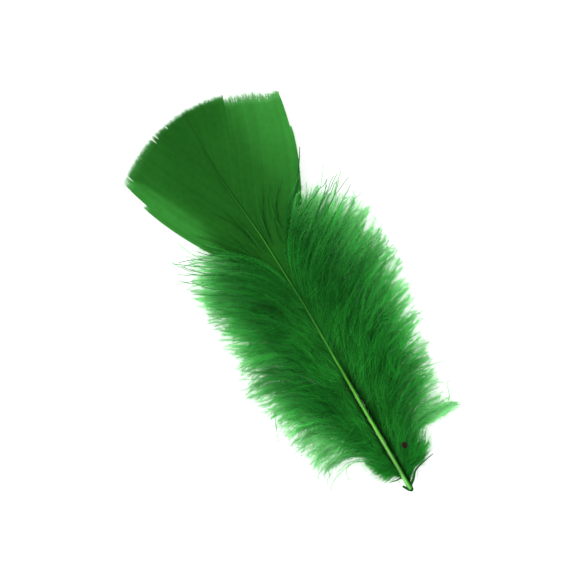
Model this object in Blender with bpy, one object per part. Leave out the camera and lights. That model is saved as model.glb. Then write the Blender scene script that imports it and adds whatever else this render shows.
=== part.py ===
"""A turkey flat feather, one solid, lying on its back.

The frame: +Y runs along the shaft towards the tip, +X to the right of it seen from above, and +Z up.
The origin is under the middle of the feather, on the surface that it lies on.
The feather's own places are measured from the quill end, in millimetres across and along the shaft.
"""

import math
import random

import bmesh
import bpy
import numpy as np
from mathutils import Vector

MM = 0.001

# Where the quill end lies, so that the origin is under the middle of the feather
QUILL_X = -2.6
QUILL_Y = -63.75

# The shaft: how long and thick it is, its sway to the side, and its height over the surface
SHAFT_LENGTH = 127.0
SHAFT_RADIUS = 0.65
SHAFT_TIP_RADIUS = 0.1
SHAFT_TAPER = 1.1
SHAFT_SWAY = ((0, 0.0), (30, 0.3), (62, 0.85), (84, 0.4), (105, -1.2), (127, -1.0))
SHAFT_HEIGHT = 3.9
TIP_LIFT = 3.2
TIP_LIFT_FROM = 58.0
QUILL_LIFT = 0.8
QUILL_LIFT_TO = 26.0
SHAFT_RINGS = 15
SHAFT_SIDES = 8

# The vane: a fan of barbs that end on one arc, bowed out at its sides
VANE_LOW = 64.0
VANE_TOP = 119.0
ARC_CENTRE = 85.9
ARC_RADIUS = 42.0
FAN_LEFT = 40.0
FAN_RIGHT = 38.0
BOW_LEFT = 3.6
BOW_RIGHT = 4.8
BOW_SPREAD = 3
BOW_PLACE = 1.3
VANE_THICKNESS = 0.6
VANE_CUP = 1.6
VANE_DROP = 0.25
RIDGE_HEIGHT = 0.12
RIDGES_A_SIDE = 18
STEPS_ALONG_BARB = 5
TOOTH = 0.45
NOTCH = 0.9
NOTCH_STEP = 4
LAYER_STEP = 0.22
LAYER_LEFT = 0.86
LAYER_RIGHT = 0.42
SIDE_SETBACK = 1.1

# The down: curved locks, each from its root on the shaft to its tip on the outline
LOCKS_A_SIDE = 28
LOCK_SEED = 7
LEFT_ROOT_LOW = 4.3
RIGHT_ROOT_LOW = 1.4
ROOT_HIGH = 68.0
ROOT_SPREAD = 1.5
START_ANGLE = 21.0
# Each row: how far up the row of locks, then the tip's place across and along, then the way it points
LEFT_TIPS = (
    (0.00, 5.4, 7.2, 72),
    (0.04, 7.2, 12.2, 42),
    (0.07, 20.4, 15.4, 138),
    (0.12, 21.8, 19.6, 118),
    (0.28, 23.6, 32.4, 98),
    (0.45, 27.4, 47.2, 88),
    (0.53, 25.4, 54.6, 84),
    (0.75, 25.4, 73.8, 66),
    (0.84, 24.9, 81.6, 55),
    (1.00, 19.1, 94.4, 34),
)
RIGHT_TIPS = (
    (0.00, 9.8, 6.4, 68),
    (0.04, 11.8, 10.6, 50),
    (0.07, 25.0, 14.4, 104),
    (0.13, 22.6, 20.6, 96),
    (0.22, 25.0, 28.2, 92),
    (0.48, 30.2, 52.1, 80),
    (0.60, 32.0, 62.2, 74),
    (0.78, 31.8, 76.7, 62),
    (0.85, 30.6, 82.2, 54),
    (1.00, 19.1, 95.0, 34),
)
TIP_JITTER = 1.2
TURN_JITTER = 9
START_JITTER = 4
# How far a lock keeps to the way that it starts and ends, as shares of its length
NEAR_PULL = 0.55
FAR_PULL = 0.35
# How wide and thick a lock is, and how that grows with its length
LOCK_WIDTH = 6.5
WIDTH_JITTER = 0.16
LOCK_THICKNESS = 4.2
SHORTEST_SHARE = 0.35
FULL_LENGTH = 36.0
# Where a lock is fullest, and how full it stays at its root and its tip
BELLY_PLACE = 0.75
ROOT_FULLNESS = 0.3
TIP_FULLNESS = 0.06
LOCK_RINGS = 7
LOCK_SIDES = 5
# High and low locks take turns up the shaft: what pulls their middles up or down, and their tips' height
ROOT_DROP = 0.2
HIGH_CREST = 9.4
LOW_CREST = 0.1
CREST_JITTER = 0.7
TIP_HEIGHT = 2.0
TOP_LOCKS_RISE = 2.6
TOP_LOCKS_FROM = 0.7
TIP_HEIGHT_JITTER = 1.2

# One stiff barb that lies over the right side of the vane and past its edge: across, along and up
STRAY = ((1.0, 73.0, 0.3), (8.0, 81.0, 0.5), (15.8, 91.1, 0.8), (23.1, 101.4, 1.2))
STRAY_RADIUS = 0.36

# The torn quill end: a sliver across it and a spur barb on each side, as places across, along and up
SLIVER = ((0.1, 1.2, -0.05), (0.2, -0.1, -0.1), (-0.6, 0.7, 0.1), (-1.45, 1.8, 0.2))
SLIVER_RADIUS = 0.34
SLIVER_TAPER = 0.25
SPUR = ((0.3, 0.9, -0.2), (2.9, 3.0, -0.6), (4.7, 4.3, -0.9), (10.8, 5.5, -1.4))
SPUR_RADIUS = 0.42
LEFT_SPUR = ((-0.3, 4.0, -0.3), (-2.4, 4.3, -0.9), (-4.5, 5.1, -1.2))
LEFT_SPUR_RADIUS = 0.3
STRAND_TAPER = 0.8
TORN_SLANT = 0.9

# The slab that the underside is cut flat against
SLAB_SIZE = 0.2

# Edges of the solid that turn more than this stay sharp
SHARP_ANGLE = 40


def clear_scene():
    for thing in list(bpy.data.objects):
        bpy.data.objects.remove(thing)


def place(across, along, height):
    """A point of the feather, from millimetres measured at the quill end."""
    return Vector(((QUILL_X + across) * MM, (QUILL_Y + along) * MM, height * MM))


def between(rows, column, where):
    """A value read from rows that start with a place, between the rows on either side."""
    return float(np.interp(where, [row[0] for row in rows], [row[column] for row in rows]))


def shaft_sway(along):
    return between(SHAFT_SWAY, 1, along)


def shaft_height(along):
    tip_part = max(0.0, (along - TIP_LIFT_FROM) / (SHAFT_LENGTH - TIP_LIFT_FROM))
    quill_part = max(0.0, 1.0 - along / QUILL_LIFT_TO)
    return SHAFT_HEIGHT + TIP_LIFT * tip_part**2 + QUILL_LIFT * quill_part**2


def shaft_radius(along):
    taper = max(0.0, 1.0 - along / SHAFT_LENGTH)
    return SHAFT_TIP_RADIUS + (SHAFT_RADIUS - SHAFT_TIP_RADIUS) * taper**SHAFT_TAPER


def body_from_rings(name, rings):
    """A closed body through rings of points, with a flat cap at each end."""
    shape = bmesh.new()
    loops = [[shape.verts.new(point) for point in ring] for ring in rings]
    count = len(rings[0])
    for near, far in zip(loops, loops[1:]):
        for i in range(count):
            j = (i + 1) % count
            shape.faces.new((near[i], near[j], far[j], far[i]))
    shape.faces.new(list(reversed(loops[0])))
    shape.faces.new(loops[-1])
    bmesh.ops.recalc_face_normals(shape, faces=shape.faces)
    mesh = bpy.data.meshes.new(name)
    shape.to_mesh(mesh)
    shape.free()
    return bpy.data.objects.new(name, mesh)


def tube_rings(line, half_widths, half_heights, sides):
    """Flattened rings square to a line, each with its own half width and half height."""
    rings = []
    for i, point in enumerate(line):
        ahead = line[min(i + 1, len(line) - 1)] - line[max(i - 1, 0)]
        across = Vector((ahead.y, -ahead.x, 0)).normalized()
        up = across.cross(ahead).normalized()
        ring = []
        for k in range(sides):
            angle = math.tau * (k + 0.5) / sides + math.pi / 2
            sideways = across * (math.cos(angle) * half_widths[i] * MM)
            ring.append(point + sideways + up * (math.sin(angle) * half_heights[i] * MM))
        rings.append(ring)
    return rings


def make_shaft():
    """The shaft, slanted at its torn end."""
    stops = [SHAFT_LENGTH * i / (SHAFT_RINGS - 1) for i in range(SHAFT_RINGS)]
    line = [place(shaft_sway(s), s, shaft_height(s)) for s in stops]
    radii = [shaft_radius(s) for s in stops]
    rings = tube_rings(line, radii, radii, SHAFT_SIDES)
    for point in rings[0]:
        lean = (point.z - line[0].z) / (SHAFT_RADIUS * MM)
        point.y += TORN_SLANT * MM * max(0.0, lean)
    return body_from_rings("feather", rings)


def barb_point(side, reach, t):
    """A point of the vane: reach 0 is the middle barb and 1 the outermost, t runs from root to tip."""
    fan = FAN_LEFT if side < 0 else FAN_RIGHT
    bow = BOW_LEFT if side < 0 else BOW_RIGHT
    root = VANE_TOP + (VANE_LOW - VANE_TOP) * reach
    angle = math.radians(fan * reach)
    tip_across = side * ARC_RADIUS * math.sin(angle)
    tip_along = ARC_CENTRE + ARC_RADIUS * math.cos(angle)
    across = shaft_sway(root) * (1 - t) + tip_across * t
    across += side * bow * reach**BOW_SPREAD * math.sin(math.pi * t**BOW_PLACE)
    along = root + (tip_along - root) * t
    return across, along


def vane_height(across, along):
    """The middle of the vane's thickness: level with the shaft and cupped up at its sides."""
    return shaft_height(along) - VANE_DROP + VANE_CUP * (across / ARC_RADIUS) ** 2


def make_vane():
    """The fan-shaped vane, ridged along its barbs, with toothed edges and a step where its layers part."""
    sheet = bmesh.new()
    rows = {}
    for side in (-1, 1):
        layer_edge = LAYER_LEFT if side < 0 else LAYER_RIGHT
        for k in range(RIDGES_A_SIDE + 1):
            reach = k / RIDGES_A_SIDE
            outer = reach > layer_edge
            column = []
            for step in range(STEPS_ALONG_BARB + 1):
                t = step / STEPS_ALONG_BARB
                if k == 0 and side > 0:
                    column = rows[(-1, 0)]
                    break
                if step == 0 and side > 0:
                    column.append(rows[(-1, k)][0])
                    continue
                across, along = barb_point(side, reach, t)
                height = vane_height(across, along)
                height += RIDGE_HEIGHT * t * (1 if k % 2 else -1)
                height -= LAYER_STEP * t if outer else 0.0
                if k == RIDGES_A_SIDE and step == NOTCH_STEP:
                    across -= side * NOTCH
                if step == STEPS_ALONG_BARB:
                    along -= TOOTH if k % 2 else 0.0
                    along -= SIDE_SETBACK if outer and side > 0 else 0.0
                column.append(sheet.verts.new(place(across, along, height)))
            rows[(side, k)] = column
    for side in (-1, 1):
        for k in range(RIDGES_A_SIDE):
            inner = rows[(side, k)]
            outer = rows[(side, k + 1)]
            for step in range(STEPS_ALONG_BARB):
                corners = (inner[step], inner[step + 1], outer[step + 1], outer[step])
                sheet.faces.new(corners if side < 0 else tuple(reversed(corners)))
    bmesh.ops.recalc_face_normals(sheet, faces=sheet.faces)
    mesh = bpy.data.meshes.new("vane")
    sheet.to_mesh(mesh)
    sheet.free()
    vane = bpy.data.objects.new("vane", mesh)
    thicken = vane.modifiers.new("thickness", "SOLIDIFY")
    thicken.thickness = VANE_THICKNESS * MM
    thicken.offset = 0.0
    return vane


def lock_guides():
    """Every lock of down: its side, its row place, and the points that its curve and height follow."""
    draw = random.Random(LOCK_SEED)
    guides = []
    for side, tips, low in ((-1, LEFT_TIPS, LEFT_ROOT_LOW), (1, RIGHT_TIPS, RIGHT_ROOT_LOW)):
        for i in range(LOCKS_A_SIDE):
            f = i / (LOCKS_A_SIDE - 1)
            root = low + (ROOT_HIGH - low) * f**ROOT_SPREAD
            reach = draw.uniform(-TIP_JITTER, TIP_JITTER)
            turn = math.radians(between(tips, 3, f) + draw.uniform(-TURN_JITTER, TURN_JITTER))
            tip_across = between(tips, 1, f) + reach * math.sin(turn)
            tip_along = between(tips, 2, f) + reach * math.cos(turn)
            crest = (HIGH_CREST if i % 2 else LOW_CREST) + draw.uniform(-CREST_JITTER, CREST_JITTER)
            tip_height = TIP_HEIGHT + draw.uniform(-TIP_HEIGHT_JITTER, TIP_HEIGHT_JITTER)
            tip_height += TOP_LOCKS_RISE * max(0.0, (f - TOP_LOCKS_FROM) / (1 - TOP_LOCKS_FROM))
            guides.append(
                {
                    "side": side,
                    "root": root,
                    "tip": (tip_across, tip_along),
                    "turn": turn,
                    "start": math.radians(START_ANGLE + draw.uniform(-START_JITTER, START_JITTER)),
                    "width": LOCK_WIDTH * (1 + draw.uniform(-WIDTH_JITTER, WIDTH_JITTER)),
                    "crest": crest,
                    "tip_height": tip_height,
                }
            )
    return guides


def lock_point(guide, t):
    """The middle of a lock, from its root at t 0 to its tip at t 1."""
    side = guide["side"]
    root = (shaft_sway(guide["root"]) * side, guide["root"])
    tip = guide["tip"]
    length = math.dist(root, tip)
    start = guide["start"]
    pull = NEAR_PULL * length
    near = (root[0] + pull * math.sin(start), root[1] + pull * math.cos(start))
    turn = guide["turn"]
    pull = FAR_PULL * length
    far = (tip[0] - pull * math.sin(turn), tip[1] - pull * math.cos(turn))
    shares = ((1 - t) ** 3, 3 * t * (1 - t) ** 2, 3 * t * t * (1 - t), t**3)
    points = (root, near, far, tip)
    across = sum(share * point[0] for share, point in zip(shares, points))
    along = sum(share * point[1] for share, point in zip(shares, points))
    height = (1 - t) ** 2 * (shaft_height(guide["root"]) - ROOT_DROP)
    height += 2 * t * (1 - t) * guide["crest"] + t * t * guide["tip_height"]
    return side * across, along, height


def lock_belly(t):
    """How full a lock is along its length, from 0 to 1."""
    return max(math.sin(math.pi * t**BELLY_PLACE), ROOT_FULLNESS * (1 - t), TIP_FULLNESS)


def make_lock(name, guide):
    stops = [i / (LOCK_RINGS - 1) for i in range(LOCK_RINGS)]
    line = [place(*lock_point(guide, t)) for t in stops]
    length = (line[-1] - line[0]).length / MM
    size = min(1.0, SHORTEST_SHARE + length / FULL_LENGTH)
    widths = [size * guide["width"] / 2 * lock_belly(t) for t in stops]
    heights = [size * LOCK_THICKNESS / 2 * lock_belly(t) for t in stops]
    return body_from_rings(name, tube_rings(line, widths, heights, LOCK_SIDES))


def make_strand(name, places, radius, taper=STRAND_TAPER):
    """A thin tapering strand, which follows the height of the shaft beside it."""
    line = [place(across, along, shaft_height(max(along, 0)) + up) for across, along, up in places]
    radii = [radius * (1 - taper * i / (len(line) - 1)) for i in range(len(line))]
    return body_from_rings(name, tube_rings(line, radii, radii, LOCK_SIDES))


def make_slab():
    """What the underside is cut flat against: a slab with its top at height zero."""
    bpy.ops.mesh.primitive_cube_add(size=SLAB_SIZE, location=(0, 0, -SLAB_SIZE / 2))
    slab = bpy.context.object
    slab.name = "slab"
    return slab


def make_guide(thing):
    thing.hide_render = True
    thing.display_type = "WIRE"


def shells(shape):
    """The faces of a mesh, grouped into the shells that they form."""
    left = set(shape.faces)
    groups = []
    while left:
        todo = [left.pop()]
        group = []
        while todo:
            face = todo.pop()
            group.append(face)
            neighbours = {other for edge in face.edges for other in edge.link_faces} & left
            left -= neighbours
            todo += neighbours
        groups.append(group)
    return groups


def fill_pockets(thing):
    """Settles the modifiers, and fills the tiny pockets that are shut in between the roots of the locks."""
    graph = bpy.context.evaluated_depsgraph_get()
    mesh = bpy.data.meshes.new_from_object(thing.evaluated_get(graph))
    shape = bmesh.new()
    shape.from_mesh(mesh)
    groups = shells(shape)
    outside = max(groups, key=len)
    pockets = [face for group in groups if group is not outside for face in group]
    bmesh.ops.delete(shape, geom=pockets, context="FACES")
    bmesh.ops.triangulate(shape, faces=shape.faces)
    shape.to_mesh(mesh)
    shape.free()
    thing.modifiers.clear()
    thing.data = mesh


def feather_material():
    material = bpy.data.materials.new("green_feather")
    material.use_nodes = True
    shader = material.node_tree.nodes["Principled BSDF"]
    shader.inputs["Base Color"].default_value = (0.021, 0.168, 0.022, 1)
    shader.inputs["Roughness"].default_value = 0.75
    shader.inputs["Metallic"].default_value = 0.0
    return material


def main():
    clear_scene()
    feather = make_shaft()
    bpy.context.scene.collection.objects.link(feather)
    grown = bpy.data.collections.new("grown_from_shaft")
    bpy.context.scene.collection.children.link(grown)
    parts = [make_vane()]
    parts += [make_lock(f"lock_{i:02d}", guide) for i, guide in enumerate(lock_guides())]
    parts.append(make_strand("sliver", SLIVER, SLIVER_RADIUS, SLIVER_TAPER))
    parts.append(make_strand("spur", SPUR, SPUR_RADIUS))
    parts.append(make_strand("left_spur", LEFT_SPUR, LEFT_SPUR_RADIUS))
    parts.append(make_strand("stray", STRAY, STRAY_RADIUS))
    for thing in parts:
        grown.objects.link(thing)
        make_guide(thing)
    join = feather.modifiers.new("grown_together", "BOOLEAN")
    join.operation = "UNION"
    join.operand_type = "COLLECTION"
    join.collection = grown
    join.solver = "EXACT"
    slab = make_slab()
    make_guide(slab)
    flat = feather.modifiers.new("flat_underside", "BOOLEAN")
    flat.operation = "DIFFERENCE"
    flat.object = slab
    flat.solver = "EXACT"
    fill_pockets(feather)
    feather.data.materials.append(feather_material())
    feather.data.shade_smooth()
    feather.data.set_sharp_from_angle(angle=math.radians(SHARP_ANGLE))


main()
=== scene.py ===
"""The looks of a turkey flat feather, dyed green, lying on its back with the vane's underside up.

Places on the feather are in millimetres across and along the shaft from the quill end, as in its solid.
"""

import math

import bpy
import numpy as np
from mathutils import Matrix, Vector


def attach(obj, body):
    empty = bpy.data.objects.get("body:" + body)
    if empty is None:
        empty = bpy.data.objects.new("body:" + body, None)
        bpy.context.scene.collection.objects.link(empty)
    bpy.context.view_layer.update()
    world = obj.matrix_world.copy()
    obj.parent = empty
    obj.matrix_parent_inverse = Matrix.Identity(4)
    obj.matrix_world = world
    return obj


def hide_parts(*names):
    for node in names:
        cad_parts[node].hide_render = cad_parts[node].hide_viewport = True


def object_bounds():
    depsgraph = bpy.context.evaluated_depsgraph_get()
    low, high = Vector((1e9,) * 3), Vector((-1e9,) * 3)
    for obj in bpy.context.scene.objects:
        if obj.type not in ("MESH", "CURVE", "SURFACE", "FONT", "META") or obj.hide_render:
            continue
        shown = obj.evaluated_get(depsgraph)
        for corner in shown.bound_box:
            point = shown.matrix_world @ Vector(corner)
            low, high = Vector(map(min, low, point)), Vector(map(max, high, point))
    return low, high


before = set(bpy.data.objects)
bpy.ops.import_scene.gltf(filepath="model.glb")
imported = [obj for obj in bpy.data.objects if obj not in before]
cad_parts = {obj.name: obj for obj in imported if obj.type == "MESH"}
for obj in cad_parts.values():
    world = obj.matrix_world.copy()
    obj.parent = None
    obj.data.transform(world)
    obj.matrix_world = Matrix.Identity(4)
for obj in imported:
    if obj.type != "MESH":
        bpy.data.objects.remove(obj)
cad_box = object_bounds()

MM = 0.001

# The two sides of the shaft
LEFT = -1
RIGHT = 1

# Where the quill end lies
QUILL_X = -2.6
QUILL_Y = -63.75

# The shaft
SHAFT_LENGTH = 127.0
SHAFT_RADIUS = 0.65
SHAFT_TIP_RADIUS = 0.1
SHAFT_TAPER = 1.1
QUILL_SWELL = 0.1
QUILL_SWELL_TO = 16.0
SHAFT_SWAY = ((0, 0.0), (30, 0.3), (62, 0.85), (84, 0.4), (105, -1.2), (127, -1.0))
SHAFT_HEIGHT = 3.9
TIP_LIFT = 3.2
TIP_LIFT_FROM = 58.0
QUILL_LIFT = 0.8
QUILL_LIFT_TO = 26.0
SHAFT_STOPS = 44
SHAFT_SIDES = 14
HOLLOW_RIM = 0.28
HOLLOW_DEPTH = 1.6

# The vane
VANE_LOW = 64.0
VANE_TOP = 119.0
ARC_CENTRE = 85.9
ARC_RADIUS = 42.0
FAN = {LEFT: 40.0, RIGHT: 39.0}
BOW = {LEFT: 3.6, RIGHT: 4.0}
BOW_SPREAD = 3
BOW_PLACE = 1.3
VANE_CUP = 1.6
VANE_DROP = 0.25
LAYER_STEP = 0.22
LAYER_FROM = {LEFT: 0.86, RIGHT: 0.42}
SIDE_SETBACK = 1.2
VANE_BARBS = 170
VANE_STEPS = 26
VANE_BARB_WIDTH = 0.34
VANE_RIDGE = 0.04
VANE_SEED = 11
# Barbs stop this far short of their tips, and fine hairs that lean together in clumps fill the rest
FRINGE = 1.1
LONG_FRINGE = 1.9
LONG_FRINGE_FROM = 0.9
BROKEN_FRINGE = 0.5
TOP_TRIM = 0.25
CORNER_TRIM = 0.45
CLUMP_LEAN = 0.14
# So many of the outermost barbs on each side are broken off, this far along
BROKEN = {LEFT: 6, RIGHT: 3}
BROKEN_AT = {LEFT: 109.0, RIGHT: 107.6}
# Splits in the vane's edge: the side, how far out from the middle barb, and half the gap
SPLITS = (
    (-1, 0.26, 0.42),
    (-1, 0.40, 0.32),
    (-1, 0.44, 0.40),
    (-1, 0.66, 0.08),
    (-1, 0.88, 0.22),
    (1, 0.25, 0.08),
    (1, 0.523, 0.14),
    (1, 0.593, 0.12),
    (1, 0.687, 0.16),
    (1, 0.763, 0.16),
    (1, 0.849, 0.16),
)
SPLIT_REACH = 0.035
SPLIT_DEPTH = 15
HAIRS_A_BARB = 6
HAIR_STEPS = 4
HAIR_HALF_WIDTH = 0.042
HAIR_SPREAD = 0.12
HAIR_OVERLAP = 0.2
# How light the right side is, by millimetres across, and where the left side's lighter layer begins
LIGHT_RIGHT = (
    (0, 0.06), (4.3, 0.12), (9, 0.20), (11, 0.32),
    (13, 0.52), (17.4, 0.76), (21.7, 0.95), (26, 1.05),
)
LIGHT_LEFT = ((86, 11.0), (98, 13.0), (108.5, 18.0), (120, 24.0), (126, 27.0))

# The down, on the outline of the solid's locks and steeper than them by the shaft.
# Below, f is how far up the row of locks a barb stands, and t and s are shares of its length.
ROOT_LOW = {LEFT: 4.3, RIGHT: 1.4}
ROOT_HIGH = 68.0
ROOT_SPREAD = 2.2
START_ANGLE = 14.0
# Each row: how far up the row of locks, then the tip's place across and along, then the way it points
LEFT_TIPS = (
    (0.00, 5.4, 7.2, 72),
    (0.04, 7.2, 12.2, 42),
    (0.07, 20.4, 15.4, 138),
    (0.12, 21.8, 19.6, 118),
    (0.28, 23.6, 32.4, 98),
    (0.45, 27.4, 47.2, 88),
    (0.53, 25.4, 54.6, 84),
    (0.75, 25.4, 73.8, 66),
    (0.84, 24.4, 80.8, 55),
    (0.93, 20.8, 86.4, 46),
    (1.00, 17.6, 92.6, 34),
)
RIGHT_TIPS = (
    (0.00, 9.8, 6.4, 68),
    (0.04, 11.8, 10.6, 50),
    (0.07, 25.0, 14.4, 104),
    (0.13, 22.6, 20.6, 96),
    (0.22, 25.0, 28.2, 92),
    (0.48, 30.2, 52.1, 80),
    (0.60, 32.0, 62.2, 74),
    (0.78, 31.8, 76.7, 62),
    (0.85, 29.8, 81.0, 54),
    (0.93, 23.2, 86.6, 46),
    (1.00, 17.6, 93.4, 34),
)
# Each row: how far up the row of locks, the share of barbs left out there, and how much paler they are
LEFT_THINNESS = (
    (0.06, 0.0, 0.0),
    (0.07, 0.72, 0.36),
    (0.13, 0.6, 0.34),
    (0.21, 0.15, 0.2),
    (0.32, 0.0, 0.05),
    (0.72, 0.0, 0.0),
    (0.90, 0.0, 0.05),
    (0.96, 0.05, 0.11),
    (1.00, 0.2, -0.12),
)
RIGHT_THINNESS = (
    (0.06, 0.0, 0.0),
    (0.07, 0.3, 0.28),
    (0.13, 0.1, 0.16),
    (0.19, 0.0, 0.0),
    (0.68, 0.0, 0.0),
    (0.80, 0.04, 0.10),
    (0.93, 0.04, 0.09),
    (0.97, 0.1, 0.11),
    (1.00, 0.25, -0.12),
)
TIPS = {LEFT: LEFT_TIPS, RIGHT: RIGHT_TIPS}
THINNESS = {LEFT: LEFT_THINNESS, RIGHT: RIGHT_THINNESS}
# The furthest that any barb's tip lies from the shaft
FURTHEST = {LEFT: 29.2, RIGHT: 33.3}
# How far a barb keeps to the way that it starts and ends, as shares of its length
NEAR_PULL = 0.62
FAR_PULL = 0.35
ROOT_DROP = 0.2
HIGH_CREST = 9.4
LOW_CREST = 0.1
TIP_HEIGHT = 2.0
TOP_LOCKS_RISE = 2.6
TOP_LOCKS_FROM = 0.7
TIP_HEIGHT_JITTER = 1.2

# The barbs of down, gathered in tufts towards their tips, and the barbules on them
DOWN_SEED = 23
DOWN_PARTS = (("low", 0.0, 0.38), ("middle", 0.38, 0.70), ("high", 0.70, 1.01))
TUFTS_A_SIDE = 80
TOP_TUFTS_A_SIDE = 14
BARBS_A_TUFT = 8
LOOSE_FROM = 4
BARB_STEPS = 20
BARB_HALF_WIDTH = 0.06
BARB_TAPER = 0.75
BARBULES_A_MM = 12.9
OUTWARD = 0.78
BARBULE_LENGTH = 2.4
BARBULE_WIDTH = 0.112
BARBULE_LEAN = 31
WAVE = 0.36
WAVE_LENGTH = 6.0
STROKE_GROUPS_A_SIDE = 460
LOW_STROKE_GROUPS = 80
STROKES_A_GROUP = 6
STROKE_STEPS = 11
STROKE_HALF_WIDTH = 0.048
STROKE_STRAY = 14.0
STROKE_CURL = 6.5
ROOT_FLUFF_A_SIDE = 70
ROOT_FLUFF_TO = 72.0
UNDER_BARBS_A_SIDE = 134
TOP_UNDER_BARBS_A_SIDE = 18
UNDER_COARSENESS = 1.5
VEIL_BARBS_A_SIDE = 18
SPIKES_A_SIDE = 40
# Tufts at the quill and the lowest tips: the side, the tip's place across and along, and the way it points
LOW_TUFTS = (
    (1, 3.6, 5.4, 30),
    (1, 6.0, 6.6, 48),
    (1, 9.4, 6.4, 70),
    (1, 11.4, 8.4, 56),
    (1, 8.2, 9.6, 40),
    (1, 12.4, 10.8, 44),
    (1, 10.0, 13.0, 28),
    (1, 13.0, 13.4, 30),
    (1, 6.4, 11.0, 22),
    (1, 9.2, 15.4, 22),
    (1, 11.4, 15.8, 32),
    (1, 12.9, 15.6, 38),
    (1, 23.6, 14.0, 100),
    (1, 25.6, 14.0, 104),
    (1, 24.6, 14.3, 100),
    (1, 22.4, 15.0, 96),
    (-1, 4.0, 7.4, 50),
    (-1, 5.4, 7.0, 70),
    (-1, 6.8, 9.2, 54),
    (-1, 7.4, 12.2, 38),
    (-1, 5.2, 11.8, 28),
    (-1, 7.8, 14.6, 24),
    (-1, 20.6, 12.2, 150),
    (-1, 18.4, 15.0, 146),
    (-1, 17.0, 16.4, 140),
    (-1, 14.6, 17.2, 136),
)
LOW_TUFT_BARBS = 9
# Tufts this near to the shaft are at the quill, and these are their places in the row
QUILL_REACH = 15
QUILL_PLACE = 0.05
LOWEST_TIPS_PLACE = 0.075
# Loose barbs that hang out of the down, as places across and along, and their height
WISPS = (
    (((-22.6, 38.6), (-23.8, 36.4), (-25.2, 33.0), (-26.1, 30.2)), 2.4),
    (((-22.0, 39.0), (-24.0, 39.4), (-25.7, 38.7)), 2.6),
    (((-8.0, 13.6), (-11.4, 14.9), (-13.6, 13.6), (-13.9, 11.5), (-14.8, 9.0)), 1.4),
    (((-17.0, 15.5), (-19.4, 14.4), (-21.0, 11.2)), 1.6),
    (((20.0, 16.0), (23.6, 17.6), (24.6, 20.6), (27.9, 20.4)), 1.8),
    (((19.6, 22.6), (22.6, 22.4), (24.4, 20.8)), 1.8),
    (((22.0, 28.0), (25.2, 27.4), (28.0, 26.3)), 2.2),
    (((27.0, 60.0), (30.6, 60.6), (32.2, 61.8)), 2.6),
    (((-22.0, 86.0), (-24.6, 89.6), (-26.0, 92.6)), 3.8),
    (((-18.0, 88.0), (-20.4, 92.6), (-21.4, 96.2)), 4.0),
    (((22.0, 88.0), (25.0, 91.6), (26.6, 93.8)), 4.0),
)
# Deep places between tufts, where less light comes in: the place across and along, its radius and its depth
DEEP_PLACES = (
    (-12.0, 68.2, 1.3, 0.30),
    (-9.6, 67.2, 1.5, 0.42),
    (-7.6, 65.2, 1.4, 0.42),
    (-5.8, 62.8, 1.2, 0.34),
    (-12.5, 60.0, 4.6, 0.20),
    (-11.0, 50.6, 1.3, 0.30),
    (-8.6, 48.8, 1.3, 0.32),
    (-6.6, 46.8, 1.1, 0.26),
    (9.0, 81.4, 1.5, 0.30),
    (10.2, 77.0, 2.2, 0.30),
    (11.5, 85.0, 3.4, 0.16),
    (14.6, 66.0, 5.5, 0.18),
    (13.2, 62.6, 1.5, 0.28),
    (9.4, 57.6, 1.4, 0.26),
    (12.4, 44.6, 1.6, 0.24),
    (10.4, 30.4, 1.5, 0.24),
)
FLOOR_GAP = 0.08
TOP_GAP = 0.05

# The map that colours are baked on: a column for each barb, and rows along it
MAP_FROM = 0.01
MAP_LENGTH = 0.98
VANE_MAP_LENGTH = 0.86
HAIR_MAP_FROM = 0.88
HAIR_MAP_LENGTH = 0.11
VANE_COLUMN = 0.4
DOWN_COLUMN = 0.46

# The sliver and spur barbs at the torn quill end, and the stiff barb over the right side of the vane:
# the name, the slot, the radius, the share lost by the tip, and places across, along and over the shaft
STRANDS = (
    ("sliver", "shaft", 0.46, 0.2, ((0.5, 0.6, -0.2), (0.0, -0.35, 0.1), (-0.9, 0.7, 0.4), (-1.5, 1.9, 0.4))),
    ("spur", "down", 0.46, 0.75, ((0.3, 0.9, 0.0), (2.9, 3.0, 1.1), (4.7, 4.3, 1.2), (10.8, 5.5, 0.3))),
    ("left_spur", "down", 0.26, 0.75, ((-0.3, 4.2, -0.1), (-2.4, 4.3, 0.0), (-4.5, 4.8, -0.2))),
    (
        "stray_barb", "down", 0.3, 0.7,
        ((14.6, 89.6, 0.4), (17.6, 93.4, 0.7), (20.6, 97.6, 1.0), (23.1, 101.4, 1.2)),
    ),
)
STRAND_SIDES = 7
STRAND_STEPS = 24
SHARP_ANGLE = 50

# The speck on the down beside the shaft
SPECK_PLACE = (5.0, 11.9, 7.35)
SPECK_SIZE = (0.78, 1.05, 0.35)

# The picture: the place under its centre, how much it spans, and the way its top points
PICTURE_ACROSS = -0.7
PICTURE_ALONG = 68.1
PICTURE_SPAN = 166.6
PICTURE_TURN = -30.81
CAMERA_DISTANCE = 1.4
SENSOR = 36.0

# The light, and the floor under it, in metres
SKY_STRENGTH = 1.05
LAMP_PLACE = (-0.42, 0.30, 0.75)
LAMP_SIZE = 0.5
LAMP_POWER = 2.2
FLOOR_SIZE = 3.0

# What most barbs of down have in common
USUAL_BARB = {"pale": 0.0, "width": 1.0, "taper": BARB_TAPER, "coarse": 1.0}


def place(across, along, height):
    """Points of the feather in metres, from millimetres measured at the quill end."""
    parts = np.broadcast_arrays(QUILL_X + across, QUILL_Y + along, height)
    return np.stack(parts, axis=-1) * MM


def between(rows, column, where):
    """A value read from rows that start with a place, between the rows on either side."""
    return np.interp(where, [row[0] for row in rows], [row[column] for row in rows])


def shaft_sway(along):
    return between(SHAFT_SWAY, 1, along)


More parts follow.
